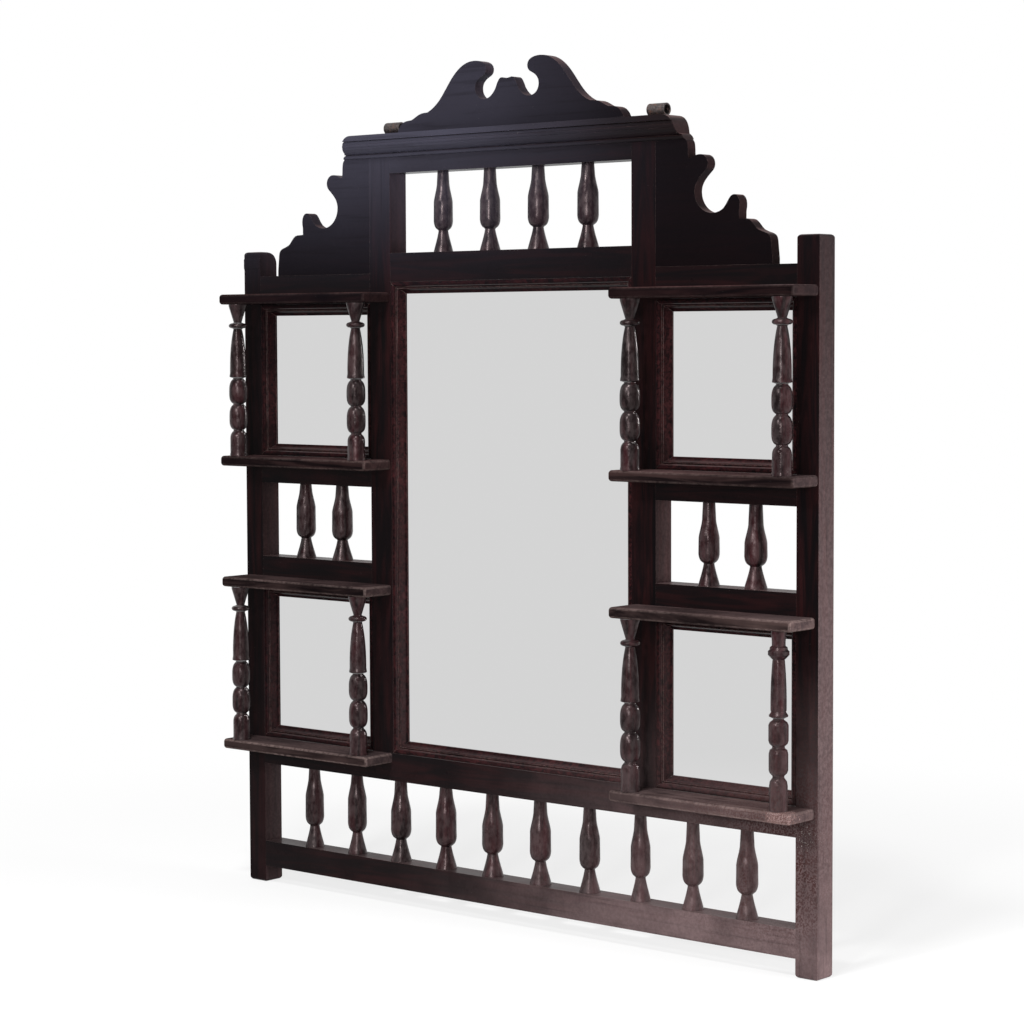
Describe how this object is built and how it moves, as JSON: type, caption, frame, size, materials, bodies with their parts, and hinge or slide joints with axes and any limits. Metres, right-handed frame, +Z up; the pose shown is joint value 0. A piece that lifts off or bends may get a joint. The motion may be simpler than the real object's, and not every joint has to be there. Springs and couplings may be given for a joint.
{
  "type": "wall mirror with shelves",
  "caption": "Carved wall mirror: a turned and jointed wooden frame with a centre mirror, side mirrors, spindle galleries and small shelves on columns, hung from rolled strap eyes.",
  "frame": {"origin": "bottom centre of the whole part's box: midway between the two posts, at the height of their feet, midway between the shelf fronts and the frame's back", "axes": "+X to the right seen from the front, +Y to the back (the wall), +Z up; the mirrors face -Y"},
  "size_m": [0.98, 0.091, 1.1355],
  "materials": {
    "dark_wood": "satin",
    "turned_wood": "satin",
    "backing_wood": "matte",
    "mirror_glass": "polished",
    "hanger_iron": "aged",
    "screw_steel": "aged"
  },
  "bodies": {
    "root": {"left_post": "dark_wood", "right_post": "dark_wood", "left_stile": "dark_wood", "right_stile": "dark_wood", "bottom_rail": "dark_wood", "mirror_rail": "dark_wood", "centre_header": "dark_wood", "top_rail": "dark_wood", "cornice": "dark_wood", "crest": "dark_wood", "left_bay_header": "dark_wood", "right_bay_header": "dark_wood", "left_upper_bay_rail": "dark_wood", "right_upper_bay_rail": "dark_wood", "left_lower_bay_rail": "dark_wood", "right_lower_bay_rail": "dark_wood", "left_scroll_board": "dark_wood", "right_scroll_board": "dark_wood", "left_shelf_top": "dark_wood", "left_shelf_upper": "dark_wood", "left_shelf_lower": "dark_wood", "left_shelf_bottom": "dark_wood", "right_shelf_top": "dark_wood", "right_shelf_upper": "dark_wood", "right_shelf_lower": "dark_wood", "right_shelf_bottom": "dark_wood", "left_column_upper_outer": "turned_wood", "left_column_upper_inner": "turned_wood", "left_column_lower_outer": "turned_wood", "left_column_lower_inner": "turned_wood", "right_column_upper_outer": "turned_wood", "right_column_upper_inner": "turned_wood", "right_column_lower_outer": "turned_wood", "right_column_lower_inner": "turned_wood", "top_spindle_1": "turned_wood", "top_spindle_2": "turned_wood", "top_spindle_3": "turned_wood", "top_spindle_4": "turned_wood", "left_bay_spindle_1": "turned_wood", "left_bay_spindle_2": "turned_wood", "right_bay_spindle_1": "turned_wood", "right_bay_spindle_2": "turned_wood", "bottom_spindles": "turned_wood", "centre_mirror": "mirror_glass", "left_upper_mirror": "mirror_glass", "left_lower_mirror": "mirror_glass", "right_upper_mirror": "mirror_glass", "right_lower_mirror": "mirror_glass", "centre_moulding": "dark_wood", "left_upper_moulding": "dark_wood", "left_lower_moulding": "dark_wood", "right_upper_moulding": "dark_wood", "right_lower_moulding": "dark_wood", "backing_boards": "backing_wood", "left_hanger": "hanger_iron", "right_hanger": "hanger_iron", "hanger_screws": "screw_steel", "shelf_screws": "screw_steel", "backing_brads": "screw_steel", "dowels": "backing_wood"}
  },
  "joints": []
}
